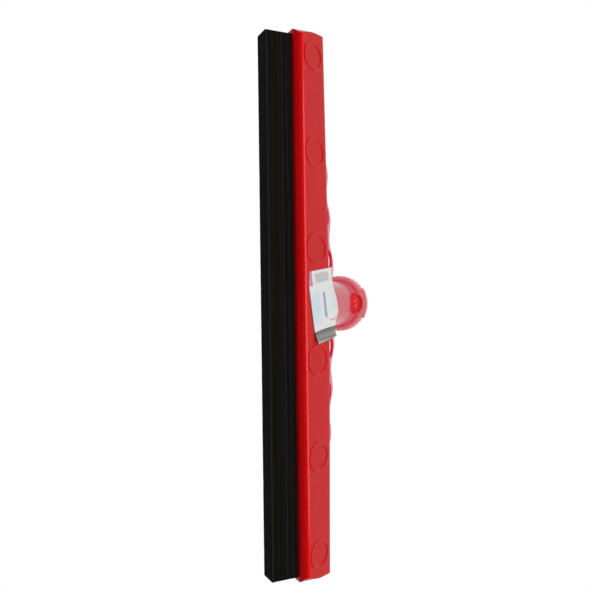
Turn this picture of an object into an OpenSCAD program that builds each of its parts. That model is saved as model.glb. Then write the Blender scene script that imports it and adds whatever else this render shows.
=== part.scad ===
// Floor squeegee head: two moulded jaws pinned together round a double foam blade.
// X runs along the blade, Z is up, the blade tips stand on z = 0 and -Y is the front.

/* [Jaws] */
// Length of the jaws
body_len = 390; // [385:1:450]
// Half width over the lip
lip_half = 14.3; // [13.5:0.1:15.5]
// Height of the lip's lower edge
lip_z = 20; // [18:0.5:20]
// Height of the fold between lip and sloping face
fold_z = 26; // [25.8:0.1:27]
// Height of the ridge at mid length
ridge_z = 50.2; // [49:0.1:52]
// How much lower the ridge is at each end
ridge_drop = 3.6; // [2:0.1:4.5]
// Half width of the ridge at mid length
ridge_half = 3.4; // [3:0.1:4]
// Corner radius of the ends, seen from above
end_r = 6; // [2:0.5:8]
// Rounding of the lip's lower edge
lip_r = 4.4; // [1:0.1:4.6]
// Rounding of the fold
fold_r = 5.5; // [1:0.1:6]
// Thickness of the end walls
end_wall = 2.6; // [2:0.1:5]

/* [Rings] */
// Distance of the first ring from mid length
ring_x = 39.9; // [38:0.1:42]
// Distance from ring to ring
ring_pitch = 69; // [60:0.1:70]
// Outer radius of the first ring
ring_r = 11.5; // [10:0.1:11.8]
// Each ring is this much smaller than the one nearer the socket
ring_step = 0.6; // [0.4:0.1:1.2]
// Width of the raised band
band_w = 2.1; // [1.4:0.1:3]
// Height of the raised band
band_h = 0.75; // [0.4:0.05:0.8]

/* [Fin] */
// Thickness of the web between the jaws
web_t = 4; // [3:0.1:5]
// Underside of the web, above the blades
web_base = 41.6; // [41.4:0.1:43]
// Thickness of the leaning fin on the ridge
fin_t = 2.2; // [1.6:0.1:2.6]
// Distance of the first hump from mid length
hump_x = 30; // [28:0.1:32]
// Distance from hump to hump
hump_pitch = 33; // [32:0.1:34]
// Height of the first hump, up the fin
hump_h = 9.8; // [9:0.1:11]
// Height lost from hump to hump
hump_fall = 2.5; // [2:0.1:2.6]
// Length of the slot in the first hump
slot_len = 17.5; // [8:0.5:19]
// Height of the slot in the first hump
slot_h = 6.1; // [4:0.1:6.3]

/* [Socket] */
// Lean of the socket from upright, to the rear
lean = 35.5; // [30:0.5:40]
// Outer radius of the socket tube
tube_r = 18; // [17.6:0.1:19]
// Length of the tube up to the lock ring
tube_len = 52.5; // [50:0.5:60]
// Radius of the handle bore
bore_r = 14.1; // [12:0.1:14.4]
// Thickness of the floor of the bore
bore_floor = 6; // [4:0.5:10]
// Width of the recess in the front of the tube
recess_w = 16.4; // [12:0.2:18]
// Length of the recess along the tube
recess_len = 14; // [8:0.2:15]
// Depth of the recess
recess_h = 0.95; // [0.6:0.05:0.95]

/* [Lock ring] */
// Outer radius over the serrations
ring_out = 22.5; // [22:0.1:24]
// Length of the lock ring along the tube
ring_len = 6.4; // [6:0.1:8]
// Number of serrations
teeth = 36; // [24:1:48]
// Depth of the serrations
tooth_h = 0.4; // [0.3:0.05:1]
// Height of the thumb pad above the serrations
pad_h = 1.3; // [0.5:0.1:2]
// How much the pad flares out towards the tube
pad_flare = 1.5; // [0:0.1:2]
// How far the lock ring turns to each side
turn = 40; // [20:1:45]

/* [Blades] */
// Thickness of one foam strip
blade_t = 7.5; // [6:0.1:7.6]
// Top of the clamped root
blade_top = 41.3; // [40:0.1:41.5]
// Half width left for the root at its top
root_half = 4; // [3.5:0.1:4.5]
// Height where the root starts to narrow
root_z = 32.5; // [31:0.1:33]
// Room between each strip and the middle plane
blade_gap = 0.05; // [0.05:0.05:0.5]
// Radius of the moulded lines on the side of the strip
line_r = 0.4; // [0.2:0.05:0.6]

/* [Pins] */
// Radius of the clamp pins
pin_r = 2.5; // [2:0.1:3]
// Half length of a clamp pin
pin_half = 7; // [5:0.1:7.2]
// Height of the pins
pin_z = 35.5; // [35:0.1:36]
// Radius of the bosses that hold the pins
boss_r = 4.5; // [4:0.1:5]

/* [Label] */
// Length of the paper label along the ridge
label_len = 52; // [40:1:56]
// Width of the label up the face
label_w = 26.5; // [18:0.5:27]
// Paper thickness
label_t = 0.3; // [0.2:0.05:0.5]
// How far the label is turned in the plane of the face
label_turn = 8; // [6:0.5:12]
// Length of the end that has come loose and curls up
curl_len = 12; // [6:0.5:14]

/* [Hidden] */
$fn = 96;
red = "#c8232c";
deep_red = "#b51c26";
black = "#1b1b1c";
paper = "#e6e6e2";
nylon = "#e9e4d6";

// Rings and pins on each side of the socket
ring_count = 3;
part_nodes = ["front_cover", "rear_body", "lock_ring", "front_blade", "rear_blade", "label"];
pin_nodes = [for (i = [1 : 2 * ring_count]) str("clamp_pin_", i)];

half_len = body_len / 2;
face_a = atan((lip_half - ridge_half) / (ridge_z - fold_z));
ring_xs = [for (s = [-1, 1], i = [0 : ring_count - 1]) s * (ring_x + i * ring_pitch)];
// Depth of the band's foot under the face, its bevel, and its distance from the fold
band_sunk = 0.3;
band_bevel = 0.2;
band_d = 0.9;
// Room round the strips and overlap of the cutting bodies
fit = 0.1;
over = 1;
ridge_a = atan(ridge_drop / half_len);
// Last hump, and the waist between humps: height at the first one and what it loses per hump
hump_last = 2.5;
waist_h = 5.7;
waist_fall = 2.65;
// Slots: offset from the hump, height above the ridge, and how the second one differs
slot_x = 1.3;
slot_lift = 1.4;
slot_sink = 1;
slot_short = 0.86;
slot_shrink = 0.68;
// Top of the web and foot of the fin, below the ridge
web_drop = 0.2;
fin_foot = 0.4;
fin_step = 2;
arch_step = 12;
arc_steps = 18;

// Seat of the lock ring below the rim of the tube, and its running room
seat_r = 17;
seat_gap = 0.05;
ring_gap = 0.3;
rim_r = 17.9;
rim_len = 1.6;
rim_z = tube_len + ring_gap * 2 + ring_len;
bore_top = rim_z + rim_len;
// Half angle of the thumb pad and its step at each face, and half angle of the rib that stops the turning
pad_half = 29;
pad_inset = 0.2;
key_half = 4;
key_h = 0.7;
// Notch under the thumb pad
notch_half = 6.8;
notch_side = 1.5;
notch_neck = 3.2;
notch_wall = 3.6;
notch_depth = 1.2;
// Cut corners of the recess and the two nubs in it
recess_cut = 6;
recess_sill = 4;
nub_r = 0.75;
nub_x = 2;
nub_z = 49;
// Foot of the tapered root, up the rear face
root_low = 1.5;
root_high = 22;
root_wall = 1.5;
root_sunk = 0.4;
root_len = 2;
socket_front = -1.7;
socket_y = socket_front + tube_r * cos(lean);
socket_z = ridge_z - tube_r * sin(lean);

// Moulded lines and worn edge of a strip
line_zs = [12, 15.9, 17.5, 19];
blade_edge = 0.8;
// Bosses stop this far from the middle plane
boss_gap = 1;
pin_tip = 0.6;
// Corner of the label on the face, and size of its curl
label_x = -23;
label_d = 3;
curl_r = 28;

// Point on the sloping face, d up the slope from the fold
function face_at(d) = [lip_half - d * sin(face_a), fold_z + d * cos(face_a)];

function ridge_at(x) = ridge_z - ridge_drop * abs(x) / half_len;

// Height of the scalloped edge, up the fin from the ridge
function hump(x) =
    let (u = (x - hump_x) / hump_pitch)
    let (crest = hump_h - hump_fall * u)
    let (waist = waist_h - waist_fall * u)
    u > hump_last ? 0 : max(0, waist + (crest - waist) * (1 + cos(360 * u)) / 2);

function arc(c, r, a0, a1) = [for (i = [0 : arc_steps]) c + r * [cos(a0 + (a1 - a0) * i / arc_steps),
    sin(a0 + (a1 - a0) * i / arc_steps)]];

function ring_radius(x) = ring_r - ring_step * (abs(x) - ring_x) / ring_pitch;

// Extrudes a [y, z] outline along X
module along_x(len) {
    rotate([90, 0, 90]) linear_extrude(len, center = true) children();
}

// Extrudes an [x, z] outline along Y, centred on the middle plane
module along_y(len) {
    rotate([90, 0, 0]) linear_extrude(len, center = true) children();
}

// Local z runs up the socket, local -y is its front
module on_socket() {
    translate([0, socket_y, socket_z]) rotate([-lean, 0, 0]) children();
}

module jaw_section() {
    polygon(concat(
        [[0, lip_z]],
        arc([lip_half - lip_r, lip_z + lip_r], lip_r, -90, 0),
        arc([lip_half - fold_r, fold_z - fold_r * tan(face_a / 2)], fold_r, 0, face_a),
        [[ridge_half, ridge_z], [0, ridge_z]]
    ));
}

// Room for the clamped roots of both strips, with the mouth between the lips
module channel() {
    w = blade_t + fit;
    r = root_half + fit;
    along_x(body_len - 2 * end_wall)
        polygon([[-w, lip_z - over], [w, lip_z - over], [w, root_z],
            [r, web_base], [-r, web_base], [-w, root_z]]);
}

module plan_outline() {
    w = 2 * lip_half;
    linear_extrude(ridge_z + over) {
        square([body_len, w - 2 * end_r], center = true);
        square([body_len - 2 * end_r, w], center = true);
        for (x = [-1, 1], y = [-1, 1])
            translate([x * (half_len - end_r), y * (lip_half - end_r)]) circle(end_r);
    }
}

// Everything above the falling ridge line
module above_ridge() {
    top = ridge_z + over;
    out = half_len + over;
    for (s = [-1, 1])
        along_y(3 * lip_half) polygon([[0, ridge_z], [s * out, ridge_at(out)], [s * out, top], [0, top]]);
}

// Flat raised ring on the sloping face
module ring_band(x) {
    r = ring_radius(x);
    inner = r - band_w;
    side = band_h - band_bevel;
    at = face_at(r + band_d);
    translate([x, at[0], at[1]]) rotate([face_a - 90, 0, 0]) rotate_extrude()
        polygon([[inner, -band_sunk], [r, -band_sunk], [r, side], [r - band_bevel, band_h],
            [inner + band_bevel, band_h], [inner, side]]);
}

// Solid of one jaw without its bosses, on the rear side
module jaw_solid() {
    difference() {
        intersection() {
            along_x(body_len) jaw_section();
            plan_outline();
        }
        above_ridge();
    }
}

module bosses() {
    intersection() {
        for (x = ring_xs)
            translate([x, boss_gap, pin_z]) rotate([-90, 0, 0]) cylinder(lip_half, r = boss_r);
        jaw_solid();
    }
}

module pin_bores() {
    for (x = ring_xs)
        translate([x, 0, pin_z]) rotate([-90, 0, 0]) cylinder(pin_half + 2 * fit, r = pin_r);
}

module jaw_bands() {
    for (x = ring_xs) ring_band(x);
}

// Slot with a flat foot and an arched top
module slot(len, h) {
    polygon([for (a = [0 : arch_step : 180]) [cos(a) * len / 2, sin(a) * h]]);
}

// Plate between the jaws, a little below the ridge
module web() {
    end = ridge_at(half_len) - web_drop;
    along_y(web_t)
        polygon([[-half_len, web_base], [half_len, web_base], [half_len, end],
            [0, ridge_z - web_drop], [-half_len, end]]);
}

module fin_outline() {
    reach = hump_x + hump_last * hump_pitch;
    difference() {
        polygon(concat(
            [[reach, -fin_foot], [0, -fin_foot]],
            [for (x = [0 : fin_step : reach]) [x, hump(x)]]
        ));
        for (i = [0, 1]) {
            h = slot_h * pow(slot_shrink, i);
            translate([hump_x + slot_x + i * hump_pitch, slot_lift - i * slot_sink])
                slot(slot_len * pow(slot_short, i), h);
        }
    }
}

// Scalloped fins on both sides of the socket, leaning with it along the falling ridge
module fins() {
    for (s = [0, 1]) mirror([s, 0, 0])
        translate([0, socket_front, ridge_z]) rotate([0, ridge_a, 0]) rotate([-lean, 0, 0])
            translate([0, fin_t, 0]) rotate([90, 0, 0]) linear_extrude(fin_t) fin_outline();
}

// Tapered root that carries the tube on the rear jaw
module socket_root() {
    foot = face_at(root_low) - [root_sunk, 0];
    head = face_at(root_high) - [root_sunk, 0];
    hull() {
        on_socket() cylinder(root_len, r = tube_r - root_sunk, $fn = 32);
        along_x(2 * tube_r) polygon([foot, head, head - [root_wall, 0], foot - [root_wall, 0]]);
    }
}

module socket_tube() {
    on_socket() {
        cylinder(tube_len, r = tube_r);
        cylinder(bore_top, r = seat_r);
        translate([0, 0, rim_z]) cylinder(rim_len, r1 = rim_r, r2 = seat_r);
        rotate([0, 0, 90 - key_half]) rotate_extrude(angle = 2 * key_half)
            translate([bore_r + over, tube_len - over])
                square([seat_r + key_h - bore_r - over, ring_len + over]);
    }
}

// Recess in the front of the tube that lines up with the lock ring's notch
module recess() {
    w = recess_w / 2;
    top = tube_len + ring_gap;
    low = tube_len - recess_len;
    side = low + recess_cut;
    floor_r = tube_r - recess_h;
    on_socket() difference() {
        translate([0, -tube_r, 0]) along_y(2 * floor_r)
            polygon([[recess_sill, low], [w, side], [w, top],
                [-w, top], [-w, side], [-recess_sill, low]]);
        cylinder(top + over, r = floor_r);
        for (s = [-1, 1]) translate([s * nub_x, -floor_r, nub_z]) sphere(nub_r, $fn = 24);
    }
}

module handle_bore() {
    on_socket() translate([0, 0, bore_floor]) cylinder(bore_top, r = bore_r);
}

module front_cover() {
    color(red) mirror([0, 1, 0]) {
        difference() {
            union() {
                difference() {
                    jaw_solid();
                    channel();
                    translate([-half_len - over, -web_t / 2, web_base])
                        cube([body_len + 2 * over, web_t, ridge_z]);
                }
                bosses();
            }
            pin_bores();
        }
        jaw_bands();
    }
}

module rear_body() {
    color(red) {
        difference() {
            union() {
                difference() {
                    union() {
                        jaw_solid();
                        web();
                        fins();
                        socket_root();
                        socket_tube();
                    }
                    channel();
                }
                bosses();
            }
            pin_bores();
            handle_bore();
            recess();
        }
        jaw_bands();
    }
}

module serrated_outline() {
    root = ring_out - tooth_h;
    step = 360 / teeth;
    polygon([for (i = [0 : teeth - 1], q = [0 : 3])
        let (a = step * (i + q / 4 - 1 / 8))
        (q < 2 ? ring_out : root) * [cos(a), sin(a)]]);
}

// Thumb pad, a flared sector on the front of the ring
module thumb_pad() {
    r = ring_out + pad_h;
    rotate([0, 0, -90 - pad_half]) rotate_extrude(angle = 2 * pad_half)
        polygon([[seat_r + over, pad_inset], [r + pad_flare, pad_inset],
            [r, ring_len - pad_inset], [seat_r + over, ring_len - pad_inset]]);
}

module lock_ring() {
    side = -seat_r - notch_side;
    top = notch_wall - ring_out - pad_h - pad_flare;
    color(deep_red) on_socket() translate([0, 0, tube_len + ring_gap]) difference() {
        union() {
            linear_extrude(ring_len) serrated_outline();
            thumb_pad();
        }
        translate([0, 0, -over]) cylinder(ring_len + 2 * over, r = seat_r + seat_gap);
        translate([0, 0, -over]) linear_extrude(notch_depth + over)
            polygon([[-notch_half, 0], [notch_half, 0], [notch_half, side],
                [notch_neck, top], [-notch_neck, top], [-notch_half, side]]);
        rotate([0, 0, 90 - turn - key_half - over]) rotate_extrude(angle = 2 * (turn + key_half + over))
            translate([bore_r, -over]) square([seat_r + key_h + ring_gap - bore_r, ring_len + 2 * over]);
    }
}

module blade() {
    difference() {
        along_x(body_len - 2 * end_wall - 2 * fit) {
            polygon([[blade_gap, 0], [blade_t - blade_edge, 0], [blade_t, blade_edge], [blade_t, root_z],
                [root_half, blade_top], [blade_gap, blade_top]]);
            for (z = line_zs) translate([blade_t, z]) circle(line_r, $fn = 16);
        }
        for (x = ring_xs)
            translate([x, -over, pin_z]) rotate([-90, 0, 0]) cylinder(lip_half, r = boss_r + 2 * fit);
    }
}

module front_blade() {
    color(black) mirror([0, 1, 0]) blade();
}

module rear_blade() {
    color(black) blade();
}

module clamp_pin(x) {
    color(nylon) translate([x, -pin_half, pin_z]) rotate([-90, 0, 0]) {
        cylinder(pin_tip, r1 = pin_r - pin_tip, r2 = pin_r);
        translate([0, 0, pin_tip]) cylinder(2 * (pin_half - pin_tip), r = pin_r);
        translate([0, 0, 2 * pin_half - pin_tip]) cylinder(pin_tip, r1 = pin_r, r2 = pin_r - pin_tip);
    }
}

// Paper strip on the front face, its far end curled away from the plastic
module label() {
    low = face_at(label_d);
    flat = label_len - curl_len;
    curl_a = curl_len / curl_r * 180 / PI;
    color(paper) translate([0, -low[0], low[1]]) rotate([90 - face_a, 0, 0])
        translate([label_x, 0, fit]) rotate([90, 0, label_turn])
            translate([0, 0, -label_w]) linear_extrude(label_w) polygon(concat(
                [[0, 0]],
                arc([flat, curl_r], curl_r, -90, -90 + curl_a),
                arc([flat, curl_r], curl_r - label_t, -90 + curl_a, -90),
                [[0, label_t]]
            ));
}

front_cover();
rear_body();
lock_ring();
front_blade();
rear_blade();
label();
for (i = [0 : len(pin_nodes) - 1])
    clamp_pin(ring_xs[i]);
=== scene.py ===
"""Looks of the floor squeegee head: red moulded plastic, foam-rubber blade, paper label."""
import math

import bpy
from mathutils import Matrix, Vector, noise


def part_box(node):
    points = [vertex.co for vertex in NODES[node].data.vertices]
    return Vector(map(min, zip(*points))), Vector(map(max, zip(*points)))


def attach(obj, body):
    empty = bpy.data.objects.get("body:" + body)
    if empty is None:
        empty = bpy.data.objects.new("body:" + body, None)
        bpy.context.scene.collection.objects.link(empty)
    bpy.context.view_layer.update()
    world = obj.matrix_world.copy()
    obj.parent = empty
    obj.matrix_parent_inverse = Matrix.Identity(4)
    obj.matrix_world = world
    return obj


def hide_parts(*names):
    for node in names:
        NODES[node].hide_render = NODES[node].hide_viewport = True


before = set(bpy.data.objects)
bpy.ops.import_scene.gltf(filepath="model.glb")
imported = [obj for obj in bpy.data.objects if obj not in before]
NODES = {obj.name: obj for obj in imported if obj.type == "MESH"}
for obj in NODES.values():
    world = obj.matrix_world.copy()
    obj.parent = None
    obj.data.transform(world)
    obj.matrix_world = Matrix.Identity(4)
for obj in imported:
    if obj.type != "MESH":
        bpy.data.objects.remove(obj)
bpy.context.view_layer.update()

MM = 0.001
scene = bpy.context.scene
scene.view_settings.view_transform = "Standard"


def axes(right, up, out):
    """Turn that sends X, Y and Z to three directions."""
    return Matrix((right, up, out)).transposed().to_4x4()


# Camera: seen from the front and 25 degrees below, turned so that -X is up in the picture

FOCAL_PX = 650
IMAGE_PX = 592
SENSOR_MM = 36
CLIP_START = 0.01
AIM = Vector((-5.85, -9.43, 20.2)) * MM
DISTANCE = 458 * MM
ELEVATION = math.radians(-25)
YAW = math.radians(0.6)
ROLL = math.radians(-0.75)


def make_camera():
    data = bpy.data.cameras.new("photo_camera")
    data.sensor_width = SENSOR_MM
    data.lens = FOCAL_PX * SENSOR_MM / IMAGE_PX
    data.clip_start = CLIP_START
    cam = bpy.data.objects.new("photo_camera", data)
    scene.collection.objects.link(cam)
    level = math.cos(ELEVATION)
    back = Vector((math.sin(YAW) * level, -math.cos(YAW) * level, math.sin(ELEVATION)))
    up = Vector((-1, 0, 0))
    right = up.cross(back).normalized()
    up = back.cross(right).normalized()
    turn = Matrix.Rotation(ROLL, 3, back)
    cam.matrix_world = Matrix.Translation(AIM + back * DISTANCE) @ axes(turn @ right, turn @ up, back)
    scene.camera = cam


make_camera()


# Small helpers for node materials

class Nodes:
    """Builds a material's node tree with short calls. Lengths are in metres."""

    def __init__(self, name):
        self.mat = bpy.data.materials.new(name)
        self.mat.use_nodes = True
        self.tree = self.mat.node_tree
        self.shader = self.tree.nodes["Principled BSDF"]
        self.coords = self.tree.nodes.new("ShaderNodeTexCoord").outputs["Object"]

    def new(self, kind, **props):
        n = self.tree.nodes.new(kind)
        for k, v in props.items():
            setattr(n, k, v)
        return n

    def link(self, a, b):
        self.tree.links.new(a, b)

    def put(self, socket, value):
        if isinstance(value, bpy.types.NodeSocket):
            self.link(value, socket)
        else:
            socket.default_value = value

    def set(self, **sockets):
        """Puts values on the shader, with _ for each space in a socket's name."""
        for k, v in sockets.items():
            self.put(self.shader.inputs[k.replace("_", " ")], v)

    def math(self, op, a, b=0.0):
        n = self.new("ShaderNodeMath", operation=op)
        self.put(n.inputs[0], a)
        self.put(n.inputs[1], b)
        return n.outputs[0]

    def vector_math(self, op, a, b):
        n = self.new("ShaderNodeVectorMath", operation=op)
        self.put(n.inputs[0], a)
        self.put(n.inputs[1], b)
        return n.outputs["Value" if op == "DOT_PRODUCT" else "Vector"]

    def grain(self, per_metre, detail=3.0, rough=0.5):
        """Noise with so many features per metre along X, Y and Z."""
        n = self.new("ShaderNodeTexNoise")
        self.link(self.vector_math("MULTIPLY", self.coords, per_metre), n.inputs["Vector"])
        n.inputs["Scale"].default_value = 1.0
        n.inputs["Detail"].default_value = detail
        n.inputs["Roughness"].default_value = rough
        return n.outputs["Fac"]

    def cells(self, per_metre):
        n = self.new("ShaderNodeTexVoronoi")
        self.link(self.vector_math("MULTIPLY", self.coords, per_metre), n.inputs["Vector"])
        n.inputs["Scale"].default_value = 1.0
        return n.outputs["Distance"]

    def ramp(self, fac, stops):
        """Grey level by place, from (place, level) pairs in rising order."""
        n = self.new("ShaderNodeValToRGB")
        self.link(fac, n.inputs[0])
        elements = n.color_ramp.elements
        while len(elements) < len(stops):
            elements.new(0.5)
        for e, (place, level) in zip(elements, stops):
            e.position = place
            e.color = (level, level, level, 1)
        return n.outputs[0]

    def span(self, value, a, b, c=0.0, d=1.0):
        """Goes from c to d as the value goes from a to b."""
        n = self.new("ShaderNodeMapRange")
        self.put(n.inputs[0], value)
        for i, v in enumerate((a, b, c, d)):
            n.inputs[i + 1].default_value = v
        return n.outputs[0]

    def fade(self, value, a, b):
        """Goes from 1 to 0 as the value goes from a to b."""
        return self.span(value, a, b, 1.0, 0.0)

    def within(self, value, low, high, soft):
        """1 between low and high, fading over soft on the inside of each."""
        return self.all_of(self.span(value, low, low + soft), self.fade(value, high - soft, high))

    def all_of(self, first, *rest):
        for r in rest:
            first = self.math("MULTIPLY", first, r)
        return first

    def length(self, a, b):
        return self.math("SQRT", self.math("ADD", self.all_of(a, a), self.all_of(b, b)))

    def mix(self, fac, a, b):
        n = self.new("ShaderNodeMix", data_type="RGBA")
        self.put(n.inputs[0], fac)
        for s, v in ((n.inputs[6], a), (n.inputs[7], b)):
            self.put(s, v if isinstance(v, bpy.types.NodeSocket) else (*v, 1))
        return n.outputs[2]

    def tint(self, mask, colour):
        self.colour = self.mix(mask, self.colour, colour)

    def xyz(self):
        n = self.new("ShaderNodeSeparateXYZ")
        self.link(self.coords, n.inputs[0])
        return n.outputs

    def along(self, direction, origin):
        """How far the point lies from origin along a direction."""
        gap = self.vector_math("SUBTRACT", self.coords, origin)
        return self.vector_math("DOT_PRODUCT", gap, direction)

    def facing(self, direction, normal=None):
        """1 where the surface faces a direction, 0 where it is edge on."""
        if normal is None:
            normal = self.new("ShaderNodeNewGeometry").outputs["Normal"]
        return self.vector_math("DOT_PRODUCT", normal, direction)

    def bump(self, height, strength, distance, normal=None):
        n = self.new("ShaderNodeBump")
        n.inputs["Strength"].default_value = strength
        n.inputs["Distance"].default_value = distance
        self.link(height, n.inputs["Height"])
        if normal is not None:
            self.link(normal, n.inputs["Normal"])
        return n.outputs[0]

    def rounded(self, radius):
        """Normal that rounds the edges of the mesh."""
        n = self.new("ShaderNodeBevel", samples=8)
        n.inputs["Radius"].default_value = radius
        return n.outputs[0]


# Ranges that most values of a noise lie in, wide and close
NOISE, NOISE_CORE = (0.3, 0.7), (0.35, 0.65)


# Places on the body

BODY_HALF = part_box("front_cover")[1].x
# The ridge is highest at the middle and falls to both ends
RIDGE_Z = 50.2 * MM
RIDGE_FALL = 3.6 * MM / BODY_HALF
FOLD_LOW, FOLD_HIGH, FOLD_SOFT = 24.6 * MM, 27.6 * MM, 1.1 * MM
# The sloping face from its foot to the ridge, and the directions square to it and to the back
FACE_LOW = Vector((0, -14.3 * MM, 26.0 * MM))
FACE_HIGH = Vector((0, -3.4 * MM, RIDGE_Z))
FACE_ALONG = Vector((1, 0, 0))
FACE_UP = (FACE_HIGH - FACE_LOW).normalized()
FACE_OUT = FACE_ALONG.cross(FACE_UP)
BACK_OUT = Vector((0, -FACE_OUT.y, FACE_OUT.z))
# The flat rings lie between these distances from the middle, and below this height there
RINGS_FROM, RINGS_TO, RINGS_TOP = 27.5 * MM, 189 * MM, RIDGE_Z - 1.2 * MM
# The fins' tint begins and is full at these heights there
FINS_FROM, FINS_FULL = RIDGE_Z - 1.5 * MM, RIDGE_Z + 3 * MM


# Places on the socket, along its leaning axis from its foot, or out from the axis

LEAN = math.radians(35.5)
TUBE_R = 18 * MM
SOCKET_UP = Vector((0, math.sin(LEAN), math.cos(LEAN)))
SOCKET_FRONT = Vector((0, -math.cos(LEAN), math.sin(LEAN)))
SOCKET_FOOT = Vector((0, -1.7 * MM, RIDGE_Z)) - TUBE_R * SOCKET_FRONT
# The tube's bloom fades in above its root and ends just outside its wall, and turns to painted light
# towards the sides
ROOT_FADE, TUBE_END, ASIDE_FROM = 4 * MM, TUBE_R + 1.5 * MM, 10.8 * MM
SLOT_OUT = TUBE_R + 2 * MM
RING_LOW = 53.2 * MM
# Length of tube below the lock ring that its painted light reaches
GLOW_REACH = 10 * MM
RECESS_HALF, RECESS_LOW = 8.4 * MM, 38.3 * MM
RECESS_IN, RECESS_OUT = 16.4 * MM, TUBE_R - 0.2 * MM
# The painted light in the recess is brighter between these heights and the ring
BRIGHT_FROM, BRIGHT_FULL = RING_LOW - 2.4 * MM, RING_LOW - 1.2 * MM
NUB_X, NUB_UP, NUB_CORE, NUB_R = 2.0 * MM, 49.0 * MM, 0.66 * MM, 1.1 * MM
NOTCH_HALF, NOTCH_FOOT, NOTCH_RISE, NOTCH_UP = 7.0 * MM, 17.5 * MM, 4.4 * MM, 54.3 * MM
# Radii between which the painted light on the ring's lower side turns paler
LOWER_IN, LOWER_OUT = TUBE_R + 1.2 * MM, TUBE_R + 3.6 * MM
EDGE = 0.3 * MM


# Moulded plastic: noises in features per metre along X, Y and Z, and the finish that all of it has

DRIFT, STREAK, STREAK_SHARE = (14, 30, 30), (25, 420, 420), 0.3
GLOSS_SPOTS, GLOSS_LESS, GLOSS_MORE = (120, 200, 200), 0.06, 0.04
SKIN, SKIN_BUMP, SKIN_DEPTH = (1800, 1800, 1800), 0.03, 0.04 * MM
WAVE, WAVE_BUMP, WAVE_DEPTH = (30, 110, 110), 0.15, 0.12 * MM
EDGE_ROUND = 0.35 * MM
PLASTIC_IOR = 1.4


def plastic(name, deep, light, rough):
    """Start of a moulded plastic: slow colour drift, flow streaks along the length, rounded edges."""
    m = Nodes(name)
    drift = m.grain(DRIFT)
    streak = m.grain(STREAK, 2.0)
    tone = m.math("ADD", m.all_of(drift, 1 - STREAK_SHARE), m.all_of(streak, STREAK_SHARE))
    m.colour = m.mix(m.span(tone, *NOISE), deep, light)
    m.rough = m.span(m.grain(GLOSS_SPOTS, 4.0), *NOISE, rough - GLOSS_MORE, rough + GLOSS_LESS)
    m.x, _, m.z = m.xyz()
    m.side = m.math("ABSOLUTE", m.x)
    m.up = m.along(SOCKET_UP, SOCKET_FOOT)
    m.front = m.along(SOCKET_FRONT, SOCKET_FOOT)
    m.reach = m.length(m.x, m.front)
    m.soft_edge = m.rounded(EDGE_ROUND)
    return m


def finish_plastic(m):
    """Fine skin and slow waves over the rounded edges."""
    waved = m.bump(m.grain(WAVE, 2.0), WAVE_BUMP, WAVE_DEPTH, m.soft_edge)
    normal = m.bump(m.grain(SKIN, 2.0), SKIN_BUMP, SKIN_DEPTH, waved)
    m.set(Base_Color=m.colour, Roughness=m.rough, Normal=normal, IOR=PLASTIC_IOR)
    return m.mat


# Body plastic

BODY_DEEP, BODY_LIGHT, BODY_ROUGH = (0.53, 0.001, 0.002), (0.59, 0.002, 0.004), 0.22
# The face's greyer red is painted sheen, and the fold's bright red is a painted highlight
FACE_PAINTED_SHEEN, FOLD_PAINTED_HIGHLIGHT = (0.56, 0.012, 0.013), (0.82, 0.012, 0.012)
LIP_POLISH = 0.55
# Painted light on the shaded low walls of the flat rings
WALL_PAINTED_LIGHT, WALL_TURN, FACE_TURN = (0.85, 0.010, 0.014), 0.80, 0.97
# Bloom is partly real cloudiness and partly painted sheen, paler at the sides as painted light; the glow
# by the lock ring is painted light against its shade
BLOOM_SHEEN_FRONT, BLOOM_AND_LIGHT_SIDE = (0.58, 0.099, 0.136), (0.73, 0.26, 0.40)
PAINTED_GLOW_FRONT, PAINTED_GLOW_SIDE = (0.88, 0.20, 0.26), (0.95, 0.34, 0.47)
CLOUD, CLOUD_RANGE, CLOUD_LEAST = (45, 45, 45), (0.3, 0.65), 0.75
MOTTLE, MOTTLE_LEAST = (280, 280, 280), 0.76
# Painted light on the shaded ceilings of the slots
SLOT_PAINTED_LIGHT, SLOT_TURN, SLOT_FULL = (0.90, 0.012, 0.014), 0.2, 0.6
# Painted light in the recess, brighter by the lock ring, and painted glints on the nubs
RECESS_PAINTED_LIGHT, RECESS_PAINTED_BRIGHT, RECESS_ROUGH = (0.67, 0.012, 0.015), (0.97, 0.080, 0.070), 0.45
NUB_PAINTED_GLINT = (0.98, 0.34, 0.30)


def tint_face(m):
    """A polished lip, a face greyed by painted sheen, and a painted highlight along the fold between
    them.
    """
    on_face = m.span(m.z, FOLD_LOW, FOLD_HIGH)
    # Painted sheen: the face is greyer than the lip
    m.tint(on_face, FACE_PAINTED_SHEEN)
    m.rough = m.all_of(m.rough, m.span(on_face, 0.0, 1.0, LIP_POLISH, 1.0))
    # Painted highlight along the fold
    m.tint(m.within(m.z, FOLD_LOW, FOLD_HIGH, FOLD_SOFT), FOLD_PAINTED_HIGHLIGHT)


def paint_ring_wall_light(m):
    """Painted light, a clear red, on the shaded low walls of the flat rings, which turn away from both
    faces.
    """
    outward = m.math("MAXIMUM", m.facing(FACE_OUT, m.soft_edge), m.facing(BACK_OUT, m.soft_edge))
    along = m.within(m.side, RINGS_FROM, RINGS_TO, EDGE)
    high = m.within(m.above, FOLD_HIGH, RINGS_TOP, EDGE)
    # Painted light on the ring walls
    m.tint(m.all_of(m.fade(outward, WALL_TURN, FACE_TURN), along, high), WALL_PAINTED_LIGHT)


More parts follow.
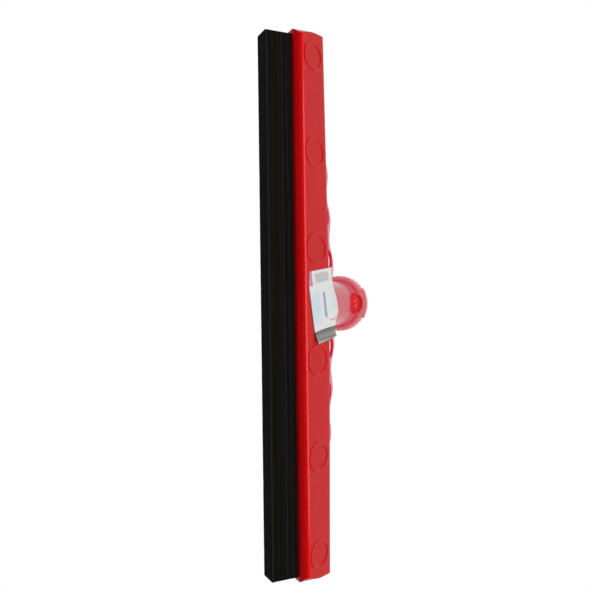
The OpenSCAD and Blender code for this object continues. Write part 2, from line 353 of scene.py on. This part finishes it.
def tint_bloom_and_light(m):
    """Pale cloudy bloom on fins and socket, partly painted sheen, with painted light on the tube's sides
    and by the lock ring, and painted light in the slots.
    """
    on_fins = m.span(m.above, FINS_FROM, FINS_FULL)
    on_tube = m.all_of(m.span(m.up, 0, ROOT_FADE), m.fade(m.reach, TUBE_R + EDGE, TUBE_END))
    cloud = m.span(m.grain(CLOUD, 2.0), *CLOUD_RANGE, CLOUD_LEAST, 1.0)
    mottle = m.span(m.grain(MOTTLE, 4.0, 0.6), *NOISE_CORE, MOTTLE_LEAST, 1.0)
    aside = m.span(m.side, ASIDE_FROM, TUBE_R)
    by_ring = m.span(m.up, RING_LOW - GLOW_REACH, RING_LOW)
    # Painted light on the tube's sides and by the lock ring
    pale = m.mix(by_ring, m.mix(aside, BLOOM_SHEEN_FRONT, BLOOM_AND_LIGHT_SIDE), m.mix(aside, PAINTED_GLOW_FRONT, PAINTED_GLOW_SIDE))
    m.tint(m.all_of(m.math("MAXIMUM", on_fins, on_tube), cloud, mottle), pale)
    # Painted light on the shaded, downward-facing ceilings of the slots
    turned = m.span(m.facing(-SOCKET_UP), SLOT_TURN, SLOT_FULL)
    m.tint(m.all_of(on_fins, turned, m.span(m.reach, TUBE_R, SLOT_OUT)), SLOT_PAINTED_LIGHT)


def tint_recess(m):
    """Clear matt floor of the recess with painted light, brighter by the lock ring, and painted glints
    on two nubs.
    """
    across = m.within(m.side, -RECESS_HALF, RECESS_HALF, EDGE)
    deep = m.within(m.reach, RECESS_IN, RECESS_OUT, EDGE)
    recess = m.all_of(across, m.within(m.up, RECESS_LOW, RING_LOW, EDGE), deep, m.span(m.front, 0, EDGE))
    # Painted light on the recess floor
    m.tint(recess, m.mix(m.span(m.up, BRIGHT_FROM, BRIGHT_FULL), RECESS_PAINTED_LIGHT, RECESS_PAINTED_BRIGHT))
    m.rough = m.math("ADD", m.rough, m.all_of(recess, RECESS_ROUGH))
    # Painted glints on the nubs
    off_nub = m.length(m.math("SUBTRACT", m.side, NUB_X), m.math("SUBTRACT", m.up, NUB_UP))
    m.tint(m.all_of(m.fade(off_nub, NUB_CORE, NUB_R), recess), NUB_PAINTED_GLINT)


def red_moulding():
    m = plastic("red_moulding", BODY_DEEP, BODY_LIGHT, BODY_ROUGH)
    # Height as it would be at the middle, because the ridge falls to both ends
    m.above = m.math("ADD", m.z, m.all_of(m.side, RIDGE_FALL))
    tint_face(m)
    paint_ring_wall_light(m)
    tint_bloom_and_light(m)
    tint_recess(m)
    return finish_plastic(m)


# Lock ring plastic, paler than the body

RING_DEEP, RING_LIGHT, RING_ROUGH = (0.86, 0.130, 0.145), (0.92, 0.155, 0.170), 0.30
# Painted light on the ring's shaded lower side
LOWER_PAINTED_INNER, LOWER_PAINTED_OUTER, LOWER_TURN, LOWER_FULL = (0.95, 0.13, 0.15), (0.98, 0.36, 0.40), 0.3, 0.8
# Painted light on the notch floor
NOTCH_PAINTED_LIGHT, NOTCH_ROUGH, ARCH_SOFT = (0.97, 0.040, 0.050), 0.4, 0.03


def ring_moulding():
    """Painted light on the ring's shaded lower side, and a clear matt floor with painted light in its
    arched notch.
    """
    m = plastic("ring_moulding", RING_DEEP, RING_LIGHT, RING_ROUGH)
    lower = m.mix(m.span(m.reach, LOWER_IN, LOWER_OUT), LOWER_PAINTED_INNER, LOWER_PAINTED_OUTER)
    # Painted light on the downward-facing lower side
    m.tint(m.span(m.facing(-SOCKET_UP), LOWER_TURN, LOWER_FULL), lower)
    out = m.math("MAXIMUM", m.math("SUBTRACT", m.front, NOTCH_FOOT), 0.0)
    arch = m.length(m.math("DIVIDE", m.side, NOTCH_HALF), m.math("DIVIDE", out, NOTCH_RISE))
    inside = m.fade(arch, 1 - ARCH_SOFT, 1 + ARCH_SOFT)
    notch = m.all_of(inside, m.span(m.front, 0, EDGE), m.fade(m.up, NOTCH_UP, NOTCH_UP + EDGE))
    # Painted light in the notch
    m.tint(notch, NOTCH_PAINTED_LIGHT)
    m.rough = m.math("ADD", m.rough, m.all_of(notch, NOTCH_ROUGH))
    return finish_plastic(m)


RED = red_moulding()
RING = ring_moulding()


# Foam rubber

# Drawn lines along the outer side of a foam strip: height, and how far each bead stands out, in mm
BEADS = ((9.3, 0.15), (12.0, 0.35), (15.9, 0.40), (17.5, 0.25), (19.0, 0.35))
BEAD_HALF = 0.5
# The lower edge has a painted highlight up to this height, in mm, and the painted highlights on the
# beads end at the next
EDGE_HIGHLIGHT_TOP, LINES_TOP = 1.6, 20.0
# How bright the painted highlight on a bead's crest is, for each mm that it stands out
CREST_HIGHLIGHT_LEVEL = 2.2
SIDE_DARK, SIDE_LIGHT = (0.0046, 0.0042, 0.0030), (0.0104, 0.0098, 0.0076)
CUT_DARK, CUT_LIGHT = (0.0018, 0.0030, 0.0028), (0.0042, 0.0062, 0.0060)
# Grey of the painted highlights on the lower edge and bead crests
CREST_HIGHLIGHT_GREY = (0.0290, 0.0295, 0.0300)
FOAM_LINES, LINE_BUMP, LINE_DEPTH = (4, 40, 1500), 0.25, 0.1 * MM
FOAM_PORES, PORE_BUMP, PORE_DEPTH = (2600, 2600, 2600), 0.35, 0.12 * MM
FOAM_BLOTS, FOAM_ROUGH = (160, 260, 260), (0.62, 0.8)
FOAM_IOR, FOAM_SPECULAR = 1.4, 0.06
UNDER_TURN, UNDER_FULL = 0.4, 0.9


def foam():
    """Black closed-cell foam: lengthwise lines on the sides, painted highlights on the bead crests and
    lower edge, a blotchy cut face below.
    """
    m = Nodes("foam_rubber")
    z = m.xyz()[2]
    under = m.span(m.facing((0, 0, -1)), UNDER_TURN, UNDER_FULL)
    lines = m.grain(FOAM_LINES, 3.0, 0.65)
    side = m.mix(m.span(lines, *NOISE_CORE), SIDE_DARK, SIDE_LIGHT)
    stops = [(0.0, 1.0), (EDGE_HIGHLIGHT_TOP / LINES_TOP, 0.0)]
    for height, out in BEADS:
        for step, level in ((-BEAD_HALF, 0.0), (0.0, CREST_HIGHLIGHT_LEVEL * out), (BEAD_HALF, 0.0)):
            stops.append(((height + step) / LINES_TOP, level))
    # Painted highlights along the lower edge and on each bead's crest
    crest = m.ramp(m.span(z, 0.0, LINES_TOP * MM), stops)
    side = m.mix(crest, side, CREST_HIGHLIGHT_GREY)
    blot = m.grain(FOAM_BLOTS, 4.0, 0.6)
    cut = m.mix(m.span(blot, *NOISE_CORE), CUT_DARK, CUT_LIGHT)
    lined = m.bump(lines, LINE_BUMP, LINE_DEPTH)
    normal = m.bump(m.cells(FOAM_PORES), PORE_BUMP, PORE_DEPTH, lined)
    m.set(Base_Color=m.mix(under, side, cut), Roughness=m.span(blot, *NOISE, *FOAM_ROUGH), Normal=normal)
    m.set(IOR=FOAM_IOR, Specular_IOR_Level=FOAM_SPECULAR)
    return m.mat


FOAM = foam()


# Label paper

FIBRE, FIBRE_BUMP, FIBRE_DEPTH = (700, 700, 700), 0.2, 0.05 * MM
STAIN, STAIN_BUMP, STAIN_DEPTH = (75, 110, 90), 0.3, 0.2 * MM
STAIN_RANGE, STAIN_MOST = (0.48, 0.75), 0.4
PAPER_DARK, PAPER_LIGHT, STAIN_GREY = (0.68, 0.69, 0.68), (0.77, 0.78, 0.77), (0.52, 0.55, 0.56)
PAPER_ROUGH = (0.55, 0.7)
# Plain tint blocks: x from and to, y from and to and the soft edge in mm, then strength and colour
RULE_BLUE, RULE_STEPS = (0.40, 0.60, 0.74), (0, 2, 4, 6)
BLOCKS = [
    (1.8, 9.4, 5.5, 22.0, 0.8, 0.55, (0.34, 0.34, 0.33)),
    (-3.0, 10.9, -3.0, 3.0, 0.5, 0.9, (0.60, 0.16, 0.34)),
    (14.5, 39.0, -2.0, 10.0, 1.5, 0.30, (0.42, 0.66, 0.78)),
    *((16.0, 36.0 - k, 1.6 + k, 2.5 + k, 0.3, 0.6, RULE_BLUE) for k in RULE_STEPS),
    (16.0, 35.0, 12.5, 15.6, 0.4, 0.7, (0.16, 0.22, 0.42)),
    (37.0, 38.2, 17.5, 26.0, 0.3, 0.8, (0.60, 0.16, 0.36)),
]
# A printed dark line near the end, and a paler strip at the very end that is a painted highlight on the
# curled edge
END_PRINT_AND_HIGHLIGHT = [
    (48.7, 49.4, 0.8, 19.0, 0.25, 0.8, (0.05, 0.05, 0.05)),
    (50.2, 56.0, -2.0, 28.0, 0.6, 0.6, (0.55, 0.55, 0.52)),
]
# The painted shade on the curled loose end starts on a bowed line: places along the label, how far it
# bows, and where across it peaks
END_START, END_FULL, END_BOW, END_MIDDLE = 42.3 * MM, 42.9 * MM, 1.0 * MM, 18 * MM
# The painted shade is darkest at its start and pales between these places
PALE_FROM, PALE_TO = 42.5 * MM, 46.5 * MM
# Painted shade on the curled loose end, dark and light
END_SHADE_DARK, END_SHADE_LIGHT = (0.10, 0.10, 0.095), (0.26, 0.26, 0.245)


def paper():
    """Uncoated label, x along it and y across: plain tint blocks and rules, painted shade on the curled
    loose end, fibres.
    """
    m = Nodes("label_paper")
    x, y, _ = m.xyz()

    def add_blocks(blocks):
        for x0, x1, y0, y1, soft, amount, colour in blocks:
            along = m.within(x, x0 * MM, x1 * MM, soft * MM)
            across = m.within(y, y0 * MM, y1 * MM, soft * MM)
            m.tint(m.all_of(along, across, amount), colour)

    fibre = m.grain(FIBRE, 5.0, 0.7)
    stain = m.grain(STAIN, 4.0, 0.6)
    m.colour = m.mix(m.span(fibre, *NOISE), PAPER_DARK, PAPER_LIGHT)
    m.tint(m.span(stain, *STAIN_RANGE, 0.0, STAIN_MOST), STAIN_GREY)
    add_blocks(BLOCKS)
    bow = m.math("POWER", m.math("SUBTRACT", m.math("DIVIDE", y, END_MIDDLE), 1.0), 2.0)
    past = m.math("SUBTRACT", x, m.all_of(bow, END_BOW))
    # Painted shade on the curled loose end
    grey = m.mix(m.span(past, PALE_FROM, PALE_TO), END_SHADE_DARK, END_SHADE_LIGHT)
    m.tint(m.span(past, END_START, END_FULL), grey)
    add_blocks(END_PRINT_AND_HIGHLIGHT)
    normal = m.bump(fibre, FIBRE_BUMP, FIBRE_DEPTH, m.bump(stain, STAIN_BUMP, STAIN_DEPTH))
    m.set(Base_Color=m.colour, Roughness=m.span(fibre, *NOISE, *PAPER_ROUGH), Normal=normal)
    return m.mat


PAPER = paper()


# Nylon of the pins

NYLON_GRAIN, NYLON_BUMP, NYLON_DEPTH = (700, 700, 700), 0.15, 0.04 * MM
NYLON_DARK, NYLON_LIGHT, NYLON_ROUGH = (0.70, 0.66, 0.56), (0.82, 0.79, 0.70), (0.4, 0.55)
PIN_COUNT = 6


def nylon():
    m = Nodes("pin_nylon")
    grain = m.grain(NYLON_GRAIN)
    m.set(Base_Color=m.mix(grain, NYLON_DARK, NYLON_LIGHT))
    m.set(Roughness=m.span(grain, *NOISE, *NYLON_ROUGH), Normal=m.bump(grain, NYLON_BUMP, NYLON_DEPTH))
    return m.mat


NYLON = nylon()


def dress(name, mat):
    """Gives a CAD node's mesh its material."""
    data = NODES[name].data
    data.materials.clear()
    data.materials.append(mat)


dress("front_cover", RED)
dress("rear_body", RED)
dress("lock_ring", RING)
for i in range(1, PIN_COUNT + 1):
    dress(f"clamp_pin_{i}", NYLON)


def add_piece(name, verts, faces, mat, node, place=Matrix.Identity(4)):
    """New piece on the head that stands for a CAD node."""
    data = bpy.data.meshes.new(name)
    data.from_pydata(verts, [], faces)
    data.materials.append(mat)
    obj = bpy.data.objects.new(name, data)
    obj.matrix_world = place
    scene.collection.objects.link(obj)
    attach(obj, "head")
    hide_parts(node)
    return obj


# Foam strips, in mm: the profile of one strip, its outer side at +y, swept along the blade

BLADE_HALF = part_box("front_blade")[1].x
# Thickness, gap to the middle plane, radius of the lower edge and height of the top
STRIP_T, STRIP_GAP, STRIP_EDGE, STRIP_TOP = 7.5, 0.05, 0.8, 41.3
# The root tapers from this height to this thickness at the top
ROOT_Z, ROOT_HALF = 32.5, 4.0
# Fine drawn lines: depth, radians per mm of height, phase
FINE_LINES = ((0.05, 7.3, 0.0), (0.04, 11.9, 1.0))
FINE_SUNK = 0.09
BEAD_SPREAD = 0.36
# The lines are drawn up to this height in steps of this size, and fade in above the rounded edge
DRAWN_TOP, DRAWN_STEP, DRAWN_FADE = 19.6, 0.2, 0.8
# The plain side above them starts here, and lies this much further in
PLAIN_FROM, PLAIN_IN = 20.4, 0.05
FOOT_STEPS, EDGE_STEPS, BACK_STEPS, SWEEP_STEPS = 12, 5, 8, 260


def strip_side(z):
    """How far the outer side stands proud at height z: fine drawn lines and the beads."""
    fine = sum(depth * math.sin(z * rate + phase) for depth, rate, phase in FINE_LINES)
    beads = sum(proud * math.exp(-((z - height) / BEAD_SPREAD) ** 2) for height, proud in BEADS)
    return fine - FINE_SUNK + beads


def strip_profile():
    foot = STRIP_T - STRIP_EDGE
    pts = [(STRIP_GAP + (foot - STRIP_GAP) * i / FOOT_STEPS, 0.0) for i in range(FOOT_STEPS + 1)]
    for i in range(1, EDGE_STEPS + 1):
        a = math.radians(90 * i / EDGE_STEPS)
        pts.append((foot + STRIP_EDGE * math.sin(a), STRIP_EDGE - STRIP_EDGE * math.cos(a)))
    z = STRIP_EDGE
    while z < DRAWN_TOP:
        z += DRAWN_STEP
        fade = min(1.0, (z - STRIP_EDGE) / DRAWN_FADE)
        pts.append((STRIP_T + strip_side(z) * fade, z))
    pts += [(STRIP_T - PLAIN_IN, PLAIN_FROM), (STRIP_T - PLAIN_IN, ROOT_Z)]
    pts += [(ROOT_HALF, STRIP_TOP), (STRIP_GAP, STRIP_TOP)]
    pts += [(STRIP_GAP, STRIP_TOP * (1 - i / BACK_STEPS)) for i in range(1, BACK_STEPS)]
    return pts


# Uneven surface of a strip: depth in mm, then rates of its noise, X per m and the others per mm
UNEVEN, UNEVEN_X, UNEVEN_Y, UNEVEN_Z, UNEVEN_AT = 0.10, 140, 0.25, 0.35, 9
RIPPLE, RIPPLE_X, RIPPLE_YZ = 0.04, 900, 1.5
# It dies out up to the lip and on the inner side, and lifts the lower edge a little
FREE_TOP, FREE_FADE, INNER_SIDE = 19.0, 4, 1
LIFT_SHARE, LIFT_TOP = 0.8, 3


def strip_point(x, y, z, side):
    """Point of a strip's surface in metres, from its place along the blade and in the profile."""
    uneven = noise.noise(Vector((x * UNEVEN_X, side * y * UNEVEN_Y + UNEVEN_AT, z * UNEVEN_Z))) * UNEVEN
    ripple = noise.noise(Vector((x * RIPPLE_X, side * y * RIPPLE_YZ, z * RIPPLE_YZ))) * RIPPLE
    free = max(0.0, min(1.0, (FREE_TOP - z) / FREE_FADE))
    out = (uneven + ripple) * free if y > INNER_SIDE else 0.0
    lift = abs(uneven) * LIFT_SHARE * max(0.0, 1 - z / LIFT_TOP)
    return (x, side * (y + out) * MM, (z + lift) * MM)


def make_strip(name, side, node):
    """Strip swept along the blade, on the front with side -1 and on the rear with side 1."""
    profile = strip_profile()
    n = len(profile)
    xs = [BLADE_HALF * (2 * i / SWEEP_STEPS - 1) for i in range(SWEEP_STEPS + 1)]
    verts = [strip_point(x, y, z, side) for x in xs for y, z in profile]
    faces = []
    for i in range(SWEEP_STEPS):
        for k in range(n):
            a, b = i * n + k, i * n + (k + 1) % n
            faces.append((a, b, b + n, a + n))
    last = SWEEP_STEPS * n
    faces.append(tuple(range(n))[::-1])
    faces.append(tuple(range(last, last + n)))
    if side > 0:
        faces = [f[::-1] for f in faces]
    obj = add_piece(name, verts, faces, FOAM, node)
    for poly in obj.data.polygons:
        poly.use_smooth = len(poly.vertices) == 4


make_strip("foam_strip_front", -1, "front_blade")
make_strip("foam_strip_rear", 1, "rear_blade")


# Paper label in its own frame: x along it, y across it, z away from the face, all in mm until placed

FACE_LEN = (FACE_HIGH - FACE_LOW).length / MM
# Its place along the blade, up the face and off it, and its turn on the face
LABEL_X, LABEL_D, LABEL_OFF, LABEL_TURN = -23.0, 3.0, 0.12, math.radians(8)
LABEL_LEN, LABEL_W, LABEL_T = 52.0, 27.3, 0.18
LABEL_COLUMNS, LABEL_ROWS = 104, 48
# Two panels meet at a crease: where it is, its half width and slant, and its step off the face
CREASE_S, CREASE_HALF, CREASE_SLANT, CREASE_STEP = 10.2, 0.3, 0.02, 0.28
# Lower edge of each panel: distance from the foot of the face where it starts, and its slope
SHORT_LOW, SHORT_SLOPE = 3.4, -0.08
LONG_LOW, LONG_SLOPE = 2.5, 0.175
# Lean of the lines across the label, in degrees, and what it gains to the loose end
SKEW, SKEW_GAIN = 8.3, 5.0
# The loose end lifts on a radius, and narrows by a share, from these places on
CURL_S, CURL_R = 40.0, 28.0
SHRINK_S, SHRINK = 34, 0.17
# Crumples: depth, what they gain by the ridge, and where that starts and is full
CRUMPLE, CRUMPLE_GAIN, CRUMPLE_FROM, CRUMPLE_FULL = 0.25, 0.6, 13, 21
# Their noise: rates per mm along and across the label, and its place
CRUMPLE_S, CRUMPLE_V, CRUMPLE_AT = 0.16, 0.22, 3.0
GLUE = 0.05
# From just before the ridge the sheet stands at an angle, in degrees, that peaks at one place along it
RIDGE_EARLY, STAND, STAND_GAIN, STAND_S, STAND_SPREAD = 0.4, -11, 35, 27, 13


def label_frame():
    spin = Matrix.Rotation(LABEL_TURN, 3, FACE_OUT)
    place = FACE_LOW + (FACE_UP * LABEL_D + FACE_ALONG * LABEL_X + FACE_OUT * LABEL_OFF) * MM
    return Matrix.Translation(place) @ axes(spin @ FACE_ALONG, spin @ FACE_UP, FACE_OUT)


def ease(a, b, value):
    """Smooth step from 0 to 1 as the value goes from a to b."""
    f = max(0.0, min(1.0, (value - a) / (b - a)))
    return f * f * (3 - 2 * f)


def label_lift(s, v):
    """How far the sheet stands off the face: the step at the crease, crumples and the curled end."""
    step = CREASE_STEP * ease(CREASE_S - CREASE_HALF, CREASE_S + CREASE_HALF, s + CREASE_SLANT * v)
    by_ridge = ease(CRUMPLE_FROM, CRUMPLE_FULL, v) * ease(CRUMPLE_FROM, CRUMPLE_FULL, s)
    bumps = abs(noise.noise(Vector((s * CRUMPLE_S, v * CRUMPLE_V, CRUMPLE_AT))))
    curl = max(0.0, s - CURL_S) ** 2 / (2 * CURL_R)
    return GLUE + step + (CRUMPLE + CRUMPLE_GAIN * by_ridge) * bumps + curl


def label_point(s, v):
    """Point of the sheet, s along it and v across it: on the face, and bent over the ridge past it."""
    v *= 1 - SHRINK * ease(SHRINK_S, LABEL_LEN, s)
    if s < CREASE_S:
        low = SHORT_LOW + SHORT_SLOPE * s
    else:
        low = LONG_LOW + LONG_SLOPE * (s - CREASE_S)
    skew = math.radians(SKEW + SKEW_GAIN * ease(CREASE_S, LABEL_LEN, s))
    x = s * math.cos(LABEL_TURN) - v * math.sin(skew)
    d = low + v * math.cos(skew)
    past = max(0.0, d - FACE_LEN + RIDGE_EARLY)
    stand = math.radians(STAND + STAND_GAIN * math.exp(-((s - STAND_S) / STAND_SPREAD) ** 2))
    across = d + past * (math.cos(stand) - 1) - LABEL_D
    return (x * math.cos(LABEL_TURN) + across * math.sin(LABEL_TURN),
            across * math.cos(LABEL_TURN) - x * math.sin(LABEL_TURN),
            label_lift(s, v) + past * math.sin(stand))


def make_label():
    verts = []
    for i in range(LABEL_COLUMNS + 1):
        for k in range(LABEL_ROWS + 1):
            point = label_point(LABEL_LEN * i / LABEL_COLUMNS, LABEL_W * k / LABEL_ROWS)
            verts.append([c * MM for c in point])
    faces = []
    for i in range(LABEL_COLUMNS):
        for k in range(LABEL_ROWS):
            a = i * (LABEL_ROWS + 1) + k
            b = a + LABEL_ROWS + 1
            faces.append((a, b, b + 1, a + 1))
    obj = add_piece("paper_label", verts, faces, PAPER, "label", label_frame())
    thick = obj.modifiers.new("sheet", "SOLIDIFY")
    thick.thickness = LABEL_T * MM
    thick.offset = -1
    for poly in obj.data.polygons:
        poly.use_smooth = True


make_label()


# Studio: white surround, one soft key light above, three soft fills, a floor that shows from above only

DIFFUSE_LEVEL = 0.42
# In reflections the pale ground lies behind: direction along Y from, to, and the level at each
GLOSSY_LEVEL = (-0.42, 0.0, 0.02, 1.2)
# Share of it that is left in reflections from below, by direction along Z
GLOSSY_BELOW = (-0.5, 0.1, 0.1, 1.0)


def make_world():
    """White to the camera, one level on surfaces, and a level by direction in reflections."""
    world = bpy.data.worlds.new("studio")
    scene.world = world
    world.use_nodes = True
    world.cycles.sampling_method = "NONE"
    t = world.node_tree
    t.nodes.clear()
    path = t.nodes.new("ShaderNodeLightPath")
    coord = t.nodes.new("ShaderNodeTexCoord")
    split = t.nodes.new("ShaderNodeSeparateXYZ")
    t.links.new(coord.outputs["Generated"], split.inputs[0])
    gloss = t.nodes.new("ShaderNodeMath")
    gloss.operation = "MULTIPLY"
    for k, (axis, stops) in enumerate((("Y", GLOSSY_LEVEL), ("Z", GLOSSY_BELOW))):
        fall = t.nodes.new("ShaderNodeMapRange")
        t.links.new(split.outputs[axis], fall.inputs[0])
        for n, v in enumerate(stops):
            fall.inputs[n + 1].default_value = v
        t.links.new(fall.outputs[0], gloss.inputs[k])
    level = t.nodes.new("ShaderNodeMix")
    t.links.new(path.outputs["Is Glossy Ray"], level.inputs[0])
    level.inputs[2].default_value = DIFFUSE_LEVEL
    t.links.new(gloss.outputs[0], level.inputs[3])
    soft = t.nodes.new("ShaderNodeBackground")
    white = t.nodes.new("ShaderNodeBackground")
    for background in (soft, white):
        background.inputs["Color"].default_value = (1, 1, 1, 1)
    t.links.new(level.outputs[0], soft.inputs["Strength"])
    white.inputs["Strength"].default_value = 1.0
    seen = t.nodes.new("ShaderNodeMath")
    seen.operation = "MAXIMUM"
    t.links.new(path.outputs["Is Camera Ray"], seen.inputs[0])
    t.links.new(path.outputs["Is Transmission Ray"], seen.inputs[1])
    mix = t.nodes.new("ShaderNodeMixShader")
    t.links.new(seen.outputs[0], mix.inputs[0])
    t.links.new(soft.outputs[0], mix.inputs[1])
    t.links.new(white.outputs[0], mix.inputs[2])
    t.links.new(mix.outputs[0], t.nodes.new("ShaderNodeOutputWorld").inputs[0])


make_world()


# The floor lies a little under the blade, clear of it
FLOOR_HALF, FLOOR_DROP = 1.0, 0.5 * MM
# The floor fades into the white surround between these distances
FLOOR_NEAR, FLOOR_FAR = 0.30, 0.95
FLOOR_GRAIN, FLOOR_ROUGH = (6, 6, 6), 0.9
FLOOR_DARK, FLOOR_LIGHT = (0.88, 0.88, 0.875), (0.92, 0.92, 0.915)


def make_floor():
    """Pale floor with the object's shadow, seen by the camera from above only, clear to other rays."""
    data = bpy.data.meshes.new("floor")
    r = FLOOR_HALF
    data.from_pydata([(-r, -r, 0), (r, -r, 0), (r, r, 0), (-r, r, 0)], [], [(0, 1, 2, 3)])
    floor = bpy.data.objects.new("floor", data)
    floor.location.z = -FLOOR_DROP
    scene.collection.objects.link(floor)
    m = Nodes("pale_floor")
    m.set(Base_Color=m.mix(m.grain(FLOOR_GRAIN, 4.0), FLOOR_DARK, FLOOR_LIGHT), Roughness=FLOOR_ROUGH)
    path = m.new("ShaderNodeLightPath")
    above = m.math("SUBTRACT", 1.0, m.new("ShaderNodeNewGeometry").outputs["Backfacing"])
    near = m.fade(m.length(*m.xyz()[:2]), FLOOR_NEAR, FLOOR_FAR)
    mix = m.new("ShaderNodeMixShader")
    m.link(m.all_of(above, near, path.outputs["Is Camera Ray"]), mix.inputs[0])
    m.link(m.new("ShaderNodeBsdfTransparent").outputs[0], mix.inputs[1])
    m.link(m.shader.outputs[0], mix.inputs[2])
    m.link(mix.outputs[0], m.tree.nodes["Material Output"].inputs[0])
    data.materials.append(m.mat)


make_floor()


LAMP_TARGET = Vector((0, 0, 0.03))
FILL_SIZE = (1.4, 0.9)


def area(name, place, size, power, glossy):
    """Soft lamp that points at the object. Reflections show it only where glossy is set."""
    data = bpy.data.lights.new(name, "AREA")
    data.shape = "RECTANGLE"
    data.size, data.size_y = size
    data.energy = power
    lamp = bpy.data.objects.new(name, data)
    lamp.location = place
    lamp.visible_glossy = glossy
    lamp.rotation_euler = (LAMP_TARGET - Vector(place)).to_track_quat("-Z", "Y").to_euler()
    scene.collection.objects.link(lamp)


area("key_light", (0, -0.85, 0.95), (1.2, 0.55), 5.2, glossy=True)
area("front_fill", (0, -1.2, 0.2), FILL_SIZE, 6.2, glossy=False)
area("rear_fill", (0, 1.2, 0.6), FILL_SIZE, 5.2, glossy=False)
area("low_fill", (0, 0.8, -0.8), FILL_SIZE, 8, glossy=False)
